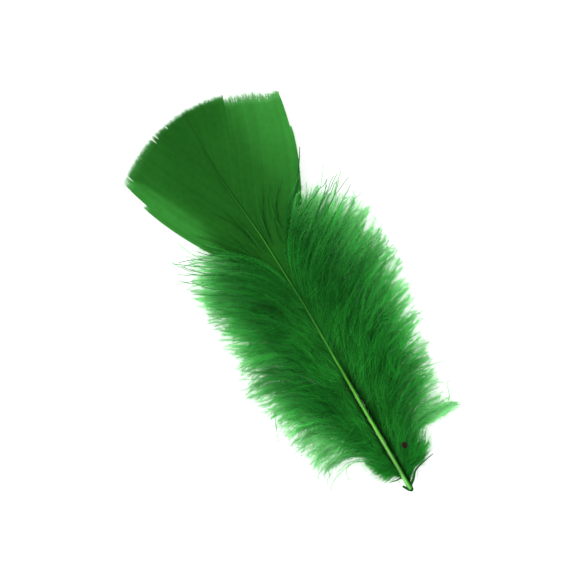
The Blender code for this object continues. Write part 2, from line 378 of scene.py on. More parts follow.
def shaft_height(along):
    tip_part = np.maximum(0.0, (along - TIP_LIFT_FROM) / (SHAFT_LENGTH - TIP_LIFT_FROM))
    quill_part = np.maximum(0.0, 1.0 - along / QUILL_LIFT_TO)
    return SHAFT_HEIGHT + TIP_LIFT * tip_part**2 + QUILL_LIFT * quill_part**2


def shaft_radius(along):
    taper = np.maximum(0.0, 1.0 - along / SHAFT_LENGTH)
    swell = QUILL_SWELL * np.maximum(0.0, 1.0 - along / QUILL_SWELL_TO)
    return SHAFT_TIP_RADIUS + (SHAFT_RADIUS - SHAFT_TIP_RADIUS) * taper**SHAFT_TAPER + swell


class Value:
    """A number that varies over a surface, so that shader maths reads as an expression."""

    def __init__(self, tree, socket):
        self.tree = tree
        self.socket = socket

    def worked(self, operation, *terms):
        node = self.tree.nodes.new("ShaderNodeMath")
        node.operation = operation
        for slot, term in zip(node.inputs, terms):
            if isinstance(term, Value):
                self.tree.links.new(term.socket, slot)
            else:
                slot.default_value = term
        return Value(self.tree, node.outputs[0])

    def __add__(self, other):
        return self.worked("ADD", self, other)

    def __sub__(self, other):
        return self.worked("SUBTRACT", self, other)

    def __rsub__(self, other):
        return self.worked("SUBTRACT", other, self)

    def __mul__(self, other):
        return self.worked("MULTIPLY", self, other)

    def __pow__(self, other):
        return self.worked("POWER", self, other)

    __radd__ = __add__
    __rmul__ = __mul__


class Finish:
    """A material made of nodes."""

    def __init__(self, name):
        self.material = bpy.data.materials.new(name)
        self.material.use_nodes = True
        self.tree = self.material.node_tree
        self.tree.nodes.clear()

    def node(self, kind, settings=None, sockets=None):
        """A node of this kind, with its settings made first and then its sockets' values or links."""
        node = self.tree.nodes.new(kind)
        for name, value in (settings or {}).items():
            if name == "stops":
                while len(node.color_ramp.elements) < len(value):
                    node.color_ramp.elements.new(0.5)
                for element, (position, colour) in zip(node.color_ramp.elements, value):
                    element.position = position
                    element.color = (*colour, 1)
            else:
                setattr(node, name, value)
        for name, value in (sockets or {}).items():
            value = value.socket if isinstance(value, Value) else value
            if isinstance(value, bpy.types.NodeSocket):
                self.tree.links.new(value, node.inputs[name])
            else:
                node.inputs[name].default_value = value
        return node

    def attribute(self, name):
        node = self.node("ShaderNodeAttribute", {"attribute_name": name})
        return Value(self.tree, node.outputs["Fac"])

    def place(self, axis):
        coordinates = self.node("ShaderNodeTexCoord").outputs["Object"]
        parts = self.node("ShaderNodeSeparateXYZ", sockets={0: coordinates})
        return Value(self.tree, parts.outputs[axis])

    def noise(self, scale, detail=2.0, stretch=(1, 1, 1)):
        """Noise over the object's own coordinates, around one half."""
        coordinates = self.node("ShaderNodeTexCoord").outputs["Object"]
        mapped = self.node("ShaderNodeMapping", sockets={"Vector": coordinates, "Scale": stretch})
        sockets = {"Vector": mapped.outputs[0], "Scale": scale, "Detail": detail}
        return Value(self.tree, self.node("ShaderNodeTexNoise", sockets=sockets).outputs[0])

    def ramp(self, value, stops):
        return self.node("ShaderNodeValToRGB", {"stops": stops}, {"Fac": value}).outputs[0]

    def mix(self, factor, first, second, blend="MIX"):
        """A colour mixed from two, each a colour or a link to one."""
        first = (*first, 1) if isinstance(first, tuple) else first
        second = (*second, 1) if isinstance(second, tuple) else second
        settings = {"data_type": "RGBA", "blend_type": blend}
        return self.node("ShaderNodeMix", settings, {0: factor, 6: first, 7: second}).outputs[2]

    def tint(self, colour, strength):
        """A colour made lighter or darker by a number that varies."""
        return self.mix(1.0, colour, strength, "MULTIPLY")

    def finish(self, shader):
        self.node("ShaderNodeOutputMaterial", sockets={"Surface": shader.outputs[0]})
        return self.material

    def solid(self, colour, roughness, shine, **more):
        """The shader of something that no light comes through."""
        sockets = {"Base Color": colour, "Roughness": roughness, "Specular IOR Level": shine, **more}
        return self.node("ShaderNodeBsdfPrincipled", sockets=sockets)

    def thin_barbs(self, colour, roughness, through):
        """Barbs that are so thin that light comes through them."""
        solid = self.solid(colour, roughness, 0.03)
        lit_through = self.node("ShaderNodeBsdfTranslucent", sockets={"Color": colour})
        sockets = {0: through, 1: solid.outputs[0], 2: lit_through.outputs[0]}
        return self.finish(self.node("ShaderNodeMixShader", sockets=sockets))


def down_finish():
    """Fluffy dyed down: deep green by the shaft, lighter outside, pale at the tips, with painted shade beside
    the shaft and between tufts.
    """
    finish = Finish("dyed_down")
    along = finish.attribute("along")
    tone = finish.attribute("tone")
    out = finish.attribute("out")
    shade = finish.attribute("shade")
    colour = finish.ramp(
        along,
        [
            (0.0, (0.037, 0.370, 0.044)),
            (0.45, (0.018, 0.270, 0.027)),
            (0.67, (0.024, 0.330, 0.036)),
            (0.80, (0.055, 0.490, 0.072)),
            (0.91, (0.112, 0.620, 0.132)),
            (1.0, (0.270, 0.780, 0.290)),
        ],
    )
    patches = finish.noise(110, 2.0)
    # Painted shade: the shade attribute darkens the colour beside the shaft, most on its right, and in the
    # deep places between tufts.
    colour = finish.tint(colour, (0.55 + tone * 0.85 + (patches - 0.5) * 0.5) * (1.0 - shade * 0.94))
    paler = finish.mix(out * along**3 * 0.5, colour, (0.40, 0.78, 0.43))
    return finish.thin_barbs(paler, 0.75, 0.45)


def vane_finish():
    """The flat vane: dark where its layers lie over each other, lighter at the sides, pale at its fringe."""
    finish = Finish("dyed_vane")
    tone = finish.attribute("tone")
    light = finish.attribute("light")
    fringe = finish.attribute("fringe")
    colour = finish.mix(light, (0.0150, 0.138, 0.0125), (0.046, 0.305, 0.042))
    patches = finish.noise(90, 3.0)
    mottle = finish.noise(700, 2.0)
    strength = 0.86 + tone * 0.26 + (patches - 0.5) * 0.2 + (mottle - 0.5) * 0.3
    colour = finish.tint(colour, strength)
    colour = finish.mix(fringe, colour, (0.24, 0.60, 0.25))
    return finish.thin_barbs(colour, 0.6, 0.3)


def shaft_finish():
    """The shaft: yellow green horn at the quill, dyed dark towards its tip, with painted shade on its right
    side.
    """
    finish = Finish("shaft_horn")
    along = finish.place("Y") * (1 / (SHAFT_LENGTH * MM)) - QUILL_Y / SHAFT_LENGTH
    colour = finish.ramp(
        along,
        [
            (0.0, (0.18, 0.50, 0.13)),
            (0.035, (0.27, 0.75, 0.19)),
            (0.09, (0.37, 0.95, 0.22)),
            (0.16, (0.26, 0.82, 0.12)),
            (0.22, (0.19, 0.66, 0.085)),
            (0.32, (0.11, 0.43, 0.055)),
            (0.42, (0.070, 0.32, 0.050)),
            (0.52, (0.038, 0.23, 0.032)),
            (0.62, (0.046, 0.25, 0.030)),
            (0.7, (0.036, 0.19, 0.024)),
            (0.79, (0.020, 0.140, 0.016)),
            (0.87, (0.014, 0.110, 0.012)),
            (0.97, (0.030, 0.160, 0.027)),
        ],
    )
    streaks = finish.noise(900, 3.0, (1, 0.06, 1))
    # Painted shade: the flank value darkens the shaft's right side, away from the lamp, and turns it a deeper
    # green.
    flank = finish.attribute("flank")
    colour = finish.tint(colour, (0.76 + streaks * 0.5) * (1.0 - flank * 0.55))
    colour = finish.mix(flank, colour, (0.48, 1.0, 0.32), "MULTIPLY")
    grooves = finish.node("ShaderNodeBump", sockets={"Height": streaks, "Strength": 0.3, "Distance": 0.00008})
    return finish.finish(finish.solid(colour, 0.8, 0.01, Normal=grooves.outputs[0]))


def dark_barb_finish():
    """Stiff barbs that took more dye."""
    finish = Finish("dark_barb")
    streaks = finish.noise(1500, 3.0)
    colour = finish.tint((0.012, 0.098, 0.017), 0.6 + streaks * 0.8)
    return finish.finish(finish.solid(colour, 0.9, 0.02))


def speck_finish():
    """A dry speck, dark red brown."""
    finish = Finish("dry_speck")
    spots = finish.noise(2500, 3.0)
    colour = finish.mix(spots, (0.006, 0.002, 0.002), (0.030, 0.009, 0.010))
    return finish.finish(finish.solid(colour, 0.8, 0.1))


def floor_finish():
    finish = Finish("pale_floor")
    grain = finish.noise(40, 3.0)
    colour = finish.tint((0.72, 0.72, 0.72), 0.99 + grain * 0.02)
    glow = {"Emission Color": (1, 1, 1, 1), "Emission Strength": 0.5}
    return finish.finish(finish.solid(colour, 0.9, 0.5, **glow))


class Fibres:
    """Many thin things gathered into one mesh: their points, triangles, map and attributes."""

    def __init__(self, names):
        self.points = []
        self.faces = []
        self.map = []
        self.values = {name: [] for name in names}
        self.count = 0

    def add(self, points, faces, places, **values):
        self.points.append(points.reshape(-1, 3))
        self.faces.append(faces.reshape(-1, 3) + self.count)
        self.map.append(places.reshape(-1, 2))
        size = self.points[-1].shape[0]
        for name, rows in self.values.items():
            rows.append(np.broadcast_to(values.get(name, 0.0), size))
        self.count += size

    def piece(self, name, material):
        """The gathered mesh as one object."""
        points = np.concatenate(self.points).astype(np.float32)
        faces = np.concatenate(self.faces).astype(np.int32)
        places = np.concatenate(self.map).astype(np.float32)
        mesh = bpy.data.meshes.new(name)
        mesh.vertices.add(len(points))
        mesh.vertices.foreach_set("co", points.ravel())
        mesh.loops.add(faces.size)
        mesh.loops.foreach_set("vertex_index", faces.ravel())
        mesh.polygons.add(len(faces))
        mesh.polygons.foreach_set("loop_start", np.arange(0, faces.size, 3, dtype=np.int32))
        mesh.update(calc_edges=True)
        layer = mesh.uv_layers.new(name="OFBake")
        layer.data.foreach_set("uv", places[faces.ravel()].ravel())
        for key, rows in self.values.items():
            attribute = mesh.attributes.new(key, "FLOAT", "POINT")
            attribute.data.foreach_set("value", np.concatenate(rows).astype(np.float32))
        mesh.shade_smooth()
        mesh.materials.append(material)
        thing = bpy.data.objects.new(name, mesh)
        bpy.context.collection.objects.link(thing)
        return thing


def unit(vectors):
    return vectors / np.maximum(np.linalg.norm(vectors, axis=-1, keepdims=True), 1e-12)


def ribbon_faces(count, across):
    """Triangles of a strip that is so many points wide, with count points along it."""
    corner = (np.arange(count - 1)[:, None] * across + np.arange(across - 1)).reshape(-1, 1)
    return np.concatenate([corner + [0, 1, across + 1], corner + [0, across + 1, across]])


def map_grid(u, v):
    """Places on the map for a strip of points: u across it and v along it."""
    return np.stack(np.broadcast_arrays(u[None, :], v[:, None]), axis=-1)


def level_side(ahead):
    """The level ways to the right of the ways ahead."""
    return unit(np.cross(ahead, [0.0, 0.0, 1.0]))


def directions(line):
    """Which way a line runs at each of its points, and the ways to its side and up from it."""
    ahead = unit(np.gradient(line, axis=0))
    sideways = level_side(ahead)
    return ahead, sideways, np.cross(sideways, ahead)


def barb_root(reach):
    """How far along the shaft a barb of the vane has its root."""
    return VANE_TOP + (VANE_LOW - VANE_TOP) * reach


def barb_point(side, reach, t):
    """A point of the vane: reach 0 is the middle barb and 1 the outermost, t runs from root to tip."""
    root = barb_root(reach)
    angle = np.radians(FAN[side] * reach)
    tip_across = side * ARC_RADIUS * np.sin(angle)
    tip_along = ARC_CENTRE + ARC_RADIUS * np.cos(angle)
    across = shaft_sway(root) * (1 - t) + tip_across * t
    across += side * BOW[side] * reach**BOW_SPREAD * np.sin(np.pi * t**BOW_PLACE)
    along = root + (tip_along - root) * t
    return across, along


def vane_height(across, along):
    return shaft_height(along) - VANE_DROP + VANE_CUP * (across / ARC_RADIUS) ** 2


def smooth_draws(draw, count, width):
    """Random numbers from 0 to 1 that change slowly from one to the next."""
    raw = draw.random(count + 2 * width)
    kernel = np.hanning(2 * width + 1)
    kernel /= kernel.sum()
    soft = np.convolve(raw, kernel, mode="valid")[:count]
    return (soft - soft.min()) / (soft.max() - soft.min())


def eased(share):
    """A share kept between 0 and 1 that starts and ends gently."""
    share = np.clip(share, 0, 1)
    return share * share * (3 - 2 * share)


def vane_light(side, across, along):
    """How light the dye looks at places of the vane, from 0 to 1."""
    out = np.abs(across)
    if side > 0:
        low_part = 0.6 + 0.4 * eased((along - 97) / 14)
        return low_part * between(LIGHT_RIGHT, 1, out)
    edge = between(LIGHT_LEFT, 1, along)
    soft = 4.5 - 3.3 * eased((along - 98) / 22)
    low_part = 0.6 + 0.4 * eased((along - 84) / 12)
    return 0.14 * eased((out - 8) / 12) + 0.62 * low_part * eased((out - edge) / soft + 0.5)


def barb_path(side, reach, t):
    """The line of one barb of the vane, pushed aside at the splits and stepped down in the outer layer."""
    across, along = barb_point(side, reach, t)
    for split_side, split_reach, gap in SPLITS:
        if split_side == side:
            away = reach - split_reach
            push = gap * np.sign(away) * np.exp(-abs(away) / SPLIT_REACH) * t**SPLIT_DEPTH
            across = across + side * push
    height = vane_height(across, along) - (LAYER_STEP * t if reach > LAYER_FROM[side] else 0.0)
    return across, along, height


def make_vane(material):
    """The vane, barb by barb, with its layers, splits and fringe of fine hairs."""
    draw = np.random.default_rng(VANE_SEED)
    fibres = Fibres(("tone", "light", "fringe"))
    total = 2 * VANE_BARBS
    u_half = VANE_COLUMN / total
    column = 0
    for side in (LEFT, RIGHT):
        coarse = smooth_draws(draw, VANE_BARBS, 6)
        fine = smooth_draws(draw, VANE_BARBS, 1)
        clump = np.cumsum(draw.uniform(0.12, 0.30, VANE_BARBS)) * math.tau
        for k in range(VANE_BARBS):
            reach = (k + 0.5) / VANE_BARBS
            outer = reach > LAYER_FROM[side]
            long_fringe = outer and (side > 0 or reach > LONG_FRINGE_FROM)
            length = math.dist((0, barb_root(reach)), barb_point(side, reach, 1.0))
            short = (LONG_FRINGE if long_fringe else FRINGE) * draw.uniform(0.75, 1.25)
            if side > 0:
                short *= 1 - CORNER_TRIM * eased((reach - 0.8) / 0.15)
            setback = SIDE_SETBACK * eased((1 - reach) / 0.15) if outer and side > 0 else TOP_TRIM
            end = 1 - (short + setback) / length
            if k >= VANE_BARBS - BROKEN[side]:
                tries = np.linspace(0, 1, 200)
                end = tries[np.argmax(barb_point(side, reach, tries)[1] > BROKEN_AT[side])]
                short = BROKEN_FRINGE
            t = np.linspace(0, end, VANE_STEPS)
            share = t / t[-1]
            across, along, height = barb_path(side, reach, t)
            light = vane_light(side, across, along)
            if side > 0:
                light = light + (0.12 if outer else -0.10) * eased((along - 112) / 8)
            tone = 0.55 * coarse[k] + 0.45 * fine[k]
            line = place(across, along, height)
            ahead, sideways, up = directions(line)
            half = VANE_BARB_WIDTH / 2 * MM * (1 - 0.6 * eased((share - 0.96) / 0.04))[:, None]
            ridge = line + up * VANE_RIDGE * MM
            u_middle = (column + 0.5) / total
            u = np.array([u_middle - u_half, u_middle, u_middle + u_half])
            fibres.add(
                np.stack([line - sideways * half, ridge, line + sideways * half], axis=1),
                ribbon_faces(VANE_STEPS, 3),
                map_grid(u, MAP_FROM + VANE_MAP_LENGTH * t / t[-1]),
                tone=tone,
                light=np.repeat(light, 3),
                fringe=np.repeat((0.25 if long_fringe else 0.1) * eased((share - 0.95) / 0.05), 3),
            )
            frayed = draw.uniform(0.55, 1.1) + 0.15 * math.sin(clump[k] * 0.37)
            for hair in range(HAIRS_A_BARB):
                size = short * frayed * draw.uniform(0.5, 1.25)
                spread = draw.uniform(-HAIR_SPREAD, HAIR_SPREAD)
                start = line[-1] + sideways[-1] * spread * MM - ahead[-1] * HAIR_OVERLAP * MM
                lean = spread + CLUMP_LEAN * math.sin(clump[k])
                rise = draw.uniform(-HAIR_SPREAD, HAIR_SPREAD)
                way = unit(ahead[-1] + sideways[-1] * lean + up[-1] * rise)
                s = np.linspace(0, 1, HAIR_STEPS)[:, None]
                bend = sideways[-1] * draw.uniform(-HAIR_SPREAD, HAIR_SPREAD) * size * MM * s**2
                middle = start + way * ((size + HAIR_OVERLAP) * MM * s) + bend
                wide = sideways[-1] * (HAIR_HALF_WIDTH * MM * (1 - 0.8 * s))
                hair_u = 0.3 * (hair - (HAIRS_A_BARB - 1) / 2) + np.array([-0.13, 0.13])
                fibres.add(
                    np.stack([middle - wide, middle + wide], axis=1),
                    ribbon_faces(HAIR_STEPS, 2),
                    map_grid(u_middle + u_half * hair_u, HAIR_MAP_FROM + HAIR_MAP_LENGTH * s[:, 0]),
                    tone=tone,
                    light=light[-1],
                    fringe=np.repeat((0.25 if long_fringe else 0.2) + 0.6 * s[:, 0], 2),
                )
            column += 1
    return fibres.piece("vane", material)


def curve(root, start, tip, turn, t):
    """Points across and along of a curve that leaves and ends at given angles from the shaft."""
    length = math.dist(root, tip)
    near = root + NEAR_PULL * length * np.array([math.sin(start), math.cos(start)])
    far = tip - FAR_PULL * length * np.array([math.sin(turn), math.cos(turn)])
    shares = ((1 - t) ** 3, 3 * t * (1 - t) ** 2, 3 * t * t * (1 - t), t**3)
    return sum(share * point[:, None] for share, point in zip(shares, (root, near, far, tip)))


def smooth_through(places, t):
    """Each coordinate of a smooth line through a few places, at shares t of its length."""
    places = np.array(places)
    knots = np.linspace(0, 1, len(places))
    order = min(len(places) - 1, 4)
    return [np.polyval(np.polyfit(knots, column, order), t) for column in places.T]


def snap_up(f, tips):
    """Moves a place in the row past the gap between the short lowest locks and the long ones."""
    return tips[2][0] if tips[1][0] < f < tips[2][0] else f


def row_tip(tips, f):
    """A tip's place across and along, and the way that it points."""
    return between(tips, 1, f), between(tips, 2, f), between(tips, 3, f)


def down_line(draw, side, f, end, habit, cut):
    """The line of one barb of down, from its root beside the shaft and cut off at a share of its length."""
    low = ROOT_LOW[side]
    along_root = max(low + (ROOT_HIGH - low) * f**ROOT_SPREAD + draw.normal(0, 0.4), 1.0)
    root = np.array([shaft_sway(along_root) * side + shaft_radius(along_root) * 0.8, along_root])
    calm = 0.3 + 0.7 * eased((f - 0.05) / 0.15)
    tip = np.array(end[:2]) + draw.normal(0, 0.5 + 0.7 * eased((f - 0.82) / 0.18), 2)
    turn = math.radians(end[2]) + calm * (habit["turn"] + math.radians(draw.normal(0, 7)))
    start = math.radians(max(START_ANGLE + draw.normal(0, 5), 8))
    tip = tip + (tip - root) * (habit["reach"] - 1)
    tip[0] = min(tip[0], FURTHEST[side])
    length = math.dist(root, tip)
    t = np.linspace(0.0, cut, BARB_STEPS)
    across, along = curve(root, start, tip, turn, t)
    phase = habit["phase"] + draw.normal(0, 0.5) + math.tau * t * length / (WAVE_LENGTH * habit["pitch"])
    waves = WAVE * draw.uniform(0.3, 1.3) * np.sin(phase) * np.minimum(1, 3 * t)
    waves = waves + 0.8 * calm * habit["bend"] * np.sin(math.pi * t**2) * t
    across, along = across + 0.7 * waves, along + waves
    top = TIP_HEIGHT + draw.uniform(-TIP_HEIGHT_JITTER, TIP_HEIGHT_JITTER)
    top += TOP_LOCKS_RISE * eased((f - TOP_LOCKS_FROM) / (1 - TOP_LOCKS_FROM))
    crest = habit["crest"] + draw.normal(0, 0.8)
    height = (1 - t) ** 2 * (shaft_height(along_root) - ROOT_DROP)
    height = height + 2 * t * (1 - t) * crest + t * t * max(top, 0.4)
    return place(side * across, along, height), length * cut


def tuft_habit(draw, low_crest=LOW_CREST):
    """What the barbs of one tuft have in common."""
    return {
        "reach": draw.uniform(0.93, 1.03),
        "turn": math.radians(draw.normal(0, 10)),
        "bend": draw.uniform(-1, 1),
        "phase": draw.uniform(0, math.tau),
        "pitch": draw.uniform(0.7, 1.5),
        "tone": draw.random(),
        "crest": low_crest + (HIGH_CREST - low_crest) * draw.random() ** 0.7,
    }


def paleness(side, f):
    """How much paler the down is at this place in its row."""
    return between(THINNESS[side], 2, f)


def thinness(side, f):
    """The share of barbs left out at this place in their row."""
    return between(THINNESS[side], 1, f)


def fluffy_barb(draw, side, f, line, length, reach, habit, fluff):
    """What is needed to make one barb of down: how far its tip is out, its tone and how it is fringed."""
    tone = 0.5 * habit["tone"] + 0.5 * draw.random()
    barb = dict(USUAL_BARB, side=side, f=f, line=line, length=length, reach=reach, tone=tone, fluff=fluff)
    return dict(barb, pale=paleness(side, f), blunt=draw.uniform(0.2, 0.65))


def quill_place(along):
    """How far up the row a tuft at the quill stands, by its tip's place along the shaft."""
    return QUILL_PLACE * along / QUILL_REACH


def down_barbs(draw):
    """The middle line of every barb of down, gathered in tufts, with its tone and how it is fringed."""
    barbs = []
    for side, tips in TIPS.items():
        places = [(i + draw.random()) / TUFTS_A_SIDE for i in range(TUFTS_A_SIDE)]
        places += [0.78 + 0.22 * (i + draw.random()) / TOP_TUFTS_A_SIDE for i in range(TOP_TUFTS_A_SIDE)]
        for tuft, tuft_f in enumerate(places):
            habit = tuft_habit(draw)
            tuft_cut = draw.uniform(0.62, 0.88) if tuft % 3 == 2 else 1.0
            for number in range(BARBS_A_TUFT):
                loose = number >= LOOSE_FROM
                if loose:
                    habit = tuft_habit(draw)
                f = snap_up(min(max(tuft_f + draw.normal(0, 0.015), 0.0), 1.0), tips)
                if draw.random() < thinness(side, f):
                    continue
                tip_f = f if loose else snap_up(0.6 * tuft_f + 0.4 * f, tips)
                cut = tuft_cut * (1 - 0.45 * draw.random() ** 3)
                line, length = down_line(draw, side, f, row_tip(tips, tip_f), habit, cut)
                fluff = draw.uniform(0.75, 1.2) * (1 - 0.4 * eased((f - 0.85) / 0.15))
                barbs.append(fluffy_barb(draw, side, f, line, length, cut, habit, fluff))
    for side, across, along, angle in LOW_TUFTS:
        habit = tuft_habit(draw)
        f = LOWEST_TIPS_PLACE if across > QUILL_REACH else quill_place(along)
        for _ in range(round(LOW_TUFT_BARBS * (1 - thinness(side, f)))):
            cut = 1 - 0.5 * draw.random() ** 3
            line, length = down_line(draw, side, f, (across, along, angle), habit, cut)
            barbs.append(fluffy_barb(draw, side, f, line, length, cut, habit, draw.uniform(0.5, 0.8)))
    return barbs


def under_barbs(draw):
    """Evenly spread barbs low in the down, with broad barbules, which close the gaps between the tufts."""
    barbs = []
    for side, tips in TIPS.items():
        places = [(i + draw.random()) / UNDER_BARBS_A_SIDE for i in range(UNDER_BARBS_A_SIDE)]
        places += [0.88 + 0.12 * draw.random() for _ in range(TOP_UNDER_BARBS_A_SIDE)]
        for f in places:
            f = snap_up(f, tips)
            if draw.random() < thinness(side, f):
                continue
            habit = tuft_habit(draw)
            habit["crest"] = HIGH_CREST * draw.uniform(0.0, 0.5)
            cut = draw.uniform(0.8, 1.0)
            line, length = down_line(draw, side, f, row_tip(tips, f), habit, cut)
            barb = fluffy_barb(draw, side, f, line, length, cut, habit, draw.uniform(1.2, 1.6))
            barb["coarse"] = UNDER_COARSENESS
            barbs.append(barb)
    return barbs


def spike_barbs(draw):
    """Nearly bare barbs that stick out of the fluff, most of them high up beside the vane."""
    barbs = []
    for side, tips in TIPS.items():
        for _ in range(SPIKES_A_SIDE):
            f = snap_up(0.94 - 0.7 * draw.random() ** 1.5, tips)
            habit = tuft_habit(draw)
            high = eased((f - 0.7) / 0.2)
            habit["reach"] = draw.uniform(1.0, 1.05) + 0.14 * high * draw.random()
            line, length = down_line(draw, side, f, row_tip(tips, f), habit, 1.0)
            barb = fluffy_barb(draw, side, f, line, length, 0.85, habit, draw.uniform(0.1, 0.2))
            barb["pale"] -= 0.16 * high
            barb["width"] = 1.5 + 2.4 * high
            barb["taper"] = BARB_TAPER - 0.15 * high
            barbs.append(barb)
    return barbs


def stroke_barbs(draw):
    """Short bare barbs in small groups that curl over the top of the down, some lighter and some darker."""
    barbs = []
    s = np.linspace(-0.5, 0.5, STROKE_STEPS)
    for side, tips in TIPS.items():
        low_ends = [end[1:] for end in LOW_TUFTS if end[0] == side and end[1] < QUILL_REACH]
        for group in range(STROKE_GROUPS_A_SIDE):
            low = group < LOW_STROKE_GROUPS
            if low:
                end = low_ends[group % len(low_ends)]
                f = quill_place(end[1])
            else:
                f = snap_up(0.96 * draw.random() ** 0.8, tips)
                end = row_tip(tips, f)
            habit = tuft_habit(draw, HIGH_CREST - 1.5)
            line, _ = down_line(draw, side, f, end, habit, 1.0)
            share = 0.3 + 0.6 * draw.random() if low else 0.06 + 0.84 * draw.random() ** 1.2
            middle, next_to = at(line, np.array([share, share + 0.05]))
            way = next_to - middle
            heading = math.atan2(way[1], way[0]) + math.radians(draw.normal(0, STROKE_STRAY))
            curl = math.radians(draw.normal(0, STROKE_CURL))
            light = draw.choice([0.0, 0.88 - 0.6 * eased((f - 0.75) / 0.2)])
            for _ in range(STROKES_A_GROUP):
                size = draw.uniform(2.5, 4.5) if low else draw.uniform(4, 9)
                angles = heading + math.radians(draw.normal(0, 4)) + curl * size * s
                steps = np.stack([np.cos(angles), np.sin(angles), np.zeros(STROKE_STEPS)], axis=-1)
                path = np.cumsum(steps * size / (STROKE_STEPS - 1) * MM, axis=0)
                aside = draw.normal(0, (0.8, 0.8, 0.0)) * MM
                path += middle + aside - path[STROKE_STEPS // 2] + [0, 0, draw.uniform(0.2, 1.1) * MM]
                pale = share + paleness(side, f) - 0.1
                tone = light + draw.uniform(-0.15, 0.15)
                width = draw.uniform(0.6, 1.3) * STROKE_HALF_WIDTH / BARB_HALF_WIDTH
                stroke = dict(USUAL_BARB, side=side, f=f, line=path, length=0, reach=0.1)
                barbs.append(dict(stroke, pale=pale, tone=tone, width=width))
    return barbs


def root_fluff(draw):
    """Short fluffy barbs low down beside the shaft, which close the gaps between the roots of the others."""
    barbs = []
    t = np.linspace(0, 1, BARB_STEPS)
    for side, low in ROOT_LOW.items():
        for i in range(ROOT_FLUFF_A_SIDE):
            root = low + (ROOT_FLUFF_TO - low) * (i + draw.random()) / ROOT_FLUFF_A_SIDE
            size = draw.uniform(6, 10) * (0.6 + 0.4 * eased(root / 15))
            turn = math.radians(draw.uniform(5, 46))
            across = shaft_sway(root) * side + 0.3 + size * math.sin(turn) * t**1.2
            along = root + size * math.cos(turn) * t
            height = shaft_height(root) - 0.8 + draw.uniform(-1.2, 0.8) * t
            line = place(side * across, along, height)
            barb = dict(USUAL_BARB, side=side, f=min(root / ROOT_FLUFF_TO, 0.99), line=line, length=size)
            barbs.append(dict(barb, reach=0.3, tone=draw.random(), fluff=draw.uniform(0.5, 0.8), blunt=0.5))
    return barbs


def veil_barbs(draw):
    """Fine barbs that lie over the lower part of the vane, and loose ones that hang out of the down."""
    barbs = []
    t = np.linspace(0, 1, BARB_STEPS)
    for side in (LEFT, RIGHT):
        for i in range(VEIL_BARBS_A_SIDE):
            out = (i + draw.random()) / VEIL_BARBS_A_SIDE
            turn = math.radians(2 + 26 * out + draw.normal(0, 4))
            tip = np.array([2.5 + 16.5 * out, 97.0 + draw.uniform(-5, 3) - 4 * out])
            size = draw.uniform(11, 19)
            root = tip - size * np.array([math.sin(turn + 0.12), math.cos(turn + 0.12)])
            root[0] = max(root[0], 0.6)
            across, along = curve(root, turn * 0.6, tip, turn, t)
            height = vane_height(across, along) + 0.35 + 0.5 * t + draw.uniform(0, 0.4)
            line = place(side * across, along, height)
            tone = draw.choice([-0.35, -0.2, 0.4]) + draw.uniform(-0.15, 0.15)
            barb = dict(USUAL_BARB, side=side, f=0.99, line=line, length=size, reach=0.5, tone=tone)
            barbs.append(dict(barb, fluff=draw.uniform(0.1, 0.28), blunt=0.2, width=1.3))
    for places, height in WISPS:
        across, along = smooth_through(places, t)
        side = math.copysign(1, places[0][0])
        line = place(across, along, height + 0.8 * (1 - t))
        length = math.dist(places[0], places[-1])
        barb = dict(USUAL_BARB, side=side, f=min(places[0][1] / VANE_LOW, 0.99), line=line, length=length)
        barb.update(reach=0.3, pale=0.7, blunt=0.3, width=1.4)
        barbs.append(dict(barb, tone=draw.random(), fluff=draw.uniform(0.35, 0.5)))
    return barbs


def at(line, s):
    """Points on a line of evenly numbered points, at shares s of its length."""
    where = s * (len(line) - 1)
    low = np.minimum(where.astype(int), len(line) - 2)
    part = (where - low)[:, None]
    return line[low] * (1 - part) + line[low + 1] * part


def clear_of_shaft(points, side):
    """Moves points that would lie over the shaft out to its side."""
    along = points[:, 1] / MM - QUILL_Y
    middle = (QUILL_X + shaft_sway(along)) * MM
    rim = shaft_radius(along) * (0.95 - 0.6 * eased((along - 30) / 20)) * MM
    away = side * (points[:, 0] - middle)
    points[:, 0] = middle + side * np.maximum(away, rim)
    return points


def shade_at(points, side):
    """How deep in shadow points lie, from 0 to 1: deepest low down on the right of the shaft."""
    across = points[:, 0] / MM - QUILL_X
    along = points[:, 1] / MM - QUILL_Y
    away = np.abs(across - shaft_sway(along)) - shaft_radius(along)
    depth = 1.0 if side > 0 else 0.35 + 0.6 * eased((along - 7) / 6)
    depth = depth * (1 - 0.75 * eased((along - 34) / 14))
    spread = 0.9 + (0.7 * eased((along - 8) / 8) if side > 0 else 0.0)
    shade = depth * np.exp(-((np.maximum(away, 0) / spread) ** 2))
    for deep_across, deep_along, radius, deep in DEEP_PLACES:
        distance = np.hypot(across - deep_across, along - deep_along)
        shade = shade + deep * np.exp(-((distance / radius) ** 2))
    return np.minimum(shade, 1.0)


